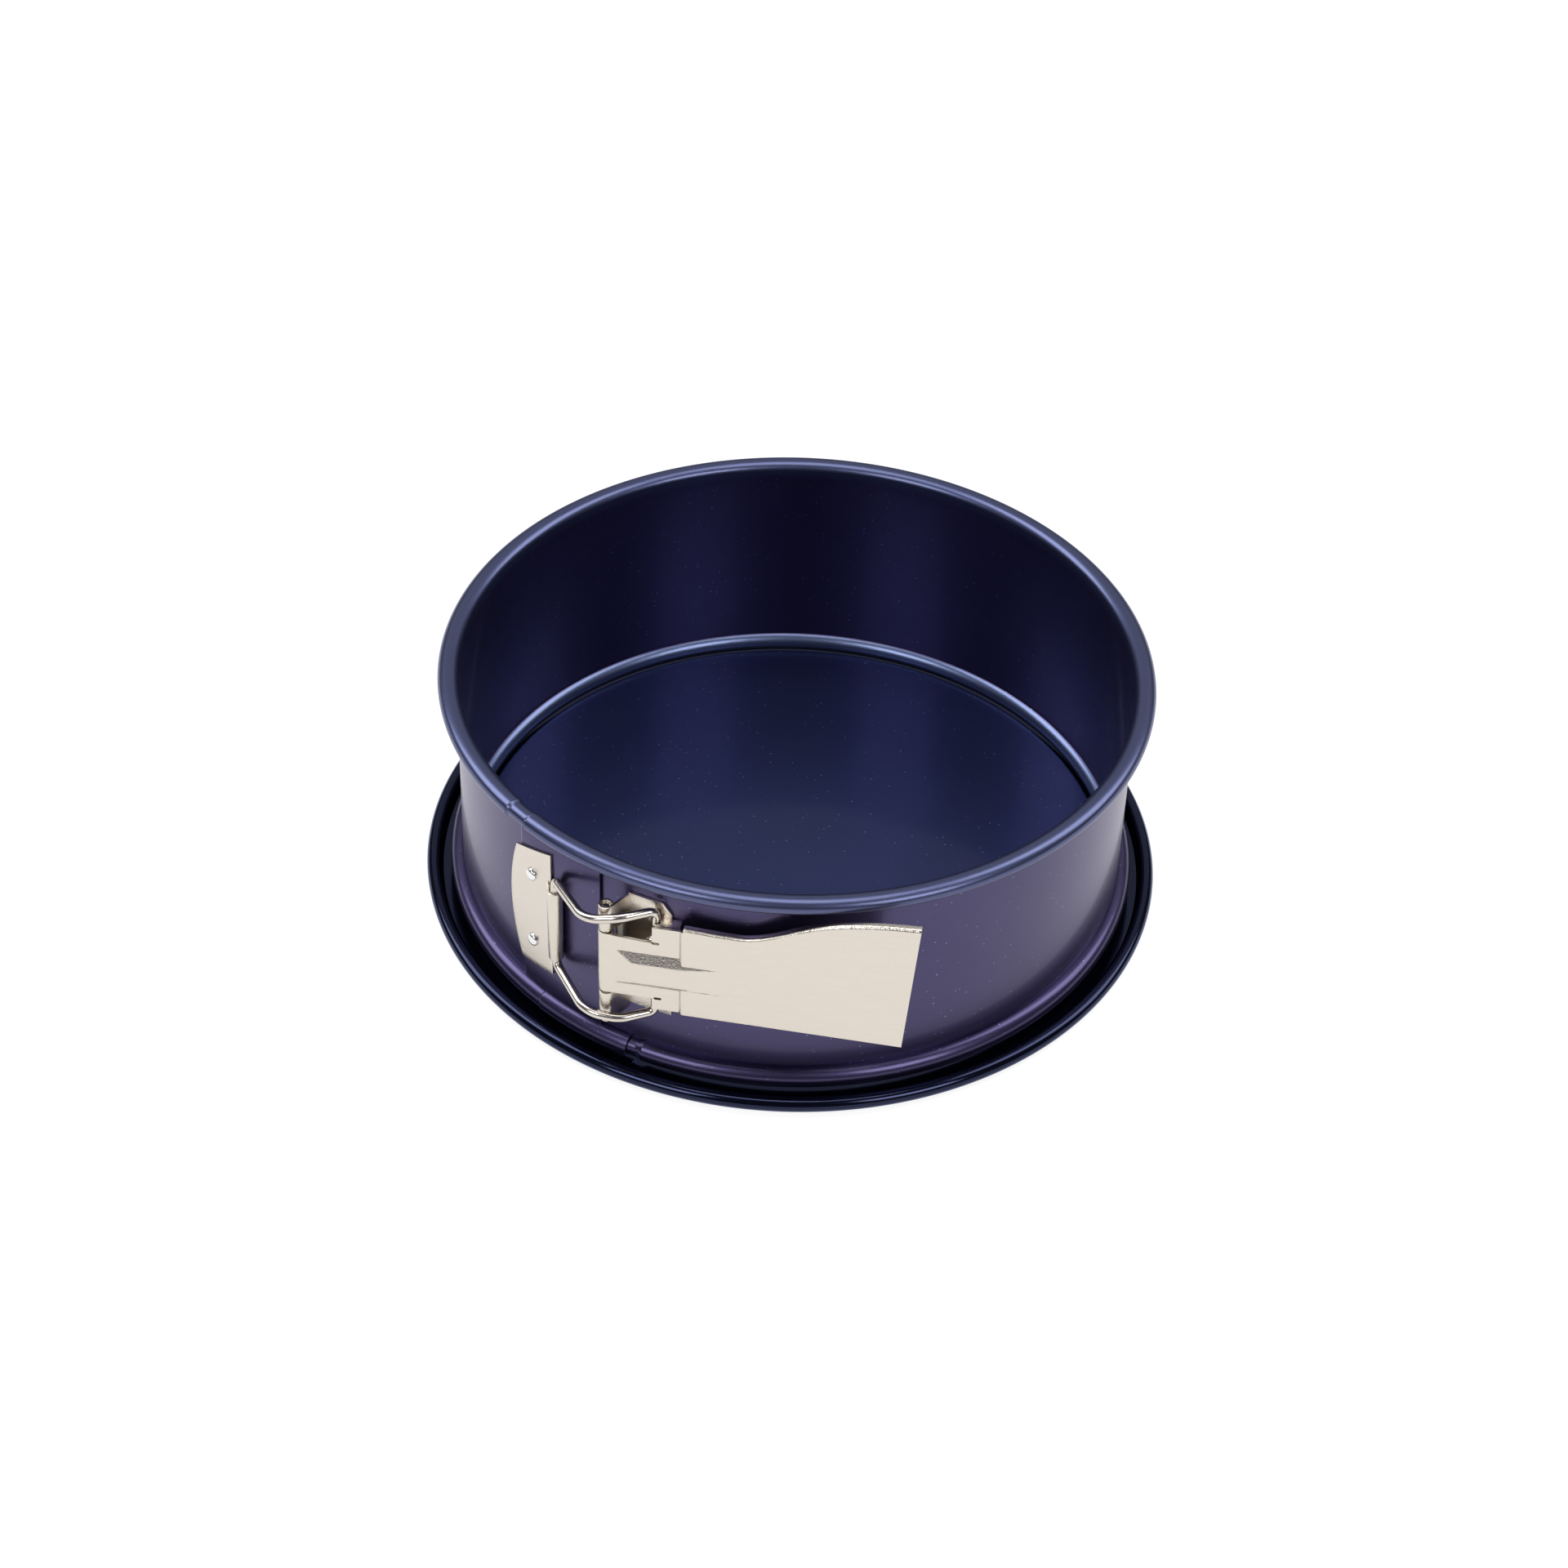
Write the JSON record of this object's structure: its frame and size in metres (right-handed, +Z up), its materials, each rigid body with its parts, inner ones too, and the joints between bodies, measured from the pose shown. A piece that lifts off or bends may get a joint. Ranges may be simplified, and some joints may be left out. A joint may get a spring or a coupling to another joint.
{
  "type": "springform pan",
  "caption": "Round non-stick springform cake pan: a tray base and a springy band with rolled edges, closed by an over-centre wire latch and lever.",
  "frame": {"origin": "on the band's axis, in the plane of the table that the tray's floor stands on", "axes": "+Z up along the band's axis; the latch is at the front, towards -Y, and its lever points to +X"},
  "size_m": [0.2014, 0.2017, 0.0695],
  "materials": {
    "tray_coating": "dark glossy non-stick coating on stamped steel",
    "band_coating": "dark blue metallic non-stick coating on rolled steel strip",
    "latch_steel": "satin warm nickel-coloured sheet steel",
    "wire_steel": "bright drawn steel wire",
    "rivet_steel": "bright steel rivet heads"
  },
  "bodies": {
    "base": {"base_plate": "tray_coating"},
    "ring_right": {"band_right": "band_coating", "hinge_bracket": "latch_steel", "bracket_rivet_upper": "rivet_steel", "bracket_rivet_lower": "rivet_steel", "hinge_pin": "wire_steel"},
    "ring_left": {"band_left": "band_coating", "keeper_plate": "latch_steel", "keeper_rivet_upper": "rivet_steel", "keeper_rivet_lower": "rivet_steel"},
    "bail": {"bail": "wire_steel"},
    "lever": {"lever": "latch_steel"}
  },
  "joints": [
    {"name": "ring_right_open", "type": "hinge", "parent": "base", "child": "ring_right", "pos_m": [0.0478, 0.08279, 0.035], "axis": [0, 0, 1], "range_deg": [0, 0.7]},
    {"name": "ring_left_open", "type": "hinge", "parent": "ring_right", "child": "ring_left", "pos_m": [0.0478, 0.08279, 0.035], "axis": [0, 0, -1], "range_deg": [0, 1.4]},
    {"name": "lever_swing", "type": "hinge", "parent": "ring_right", "child": "lever", "pos_m": [-0.04593, -0.08566, 0.0398], "axis": [0, 0, -1], "range_deg": [0, 110]},
    {"name": "bail_swing", "type": "hinge", "parent": "ring_left", "child": "bail", "pos_m": [-0.05974, -0.07195, 0.039], "axis": [0, 0, -1], "range_deg": [0, 36]}
  ],
  "couplings": [
    {"joint": "ring_right_open", "follows": "lever_swing", "ratio": 0.006166},
    {"joint": "ring_left_open", "follows": "lever_swing", "ratio": 0.012332},
    {"joint": "bail_swing", "follows": "lever_swing", "ratio": 0.32574}
  ]
}
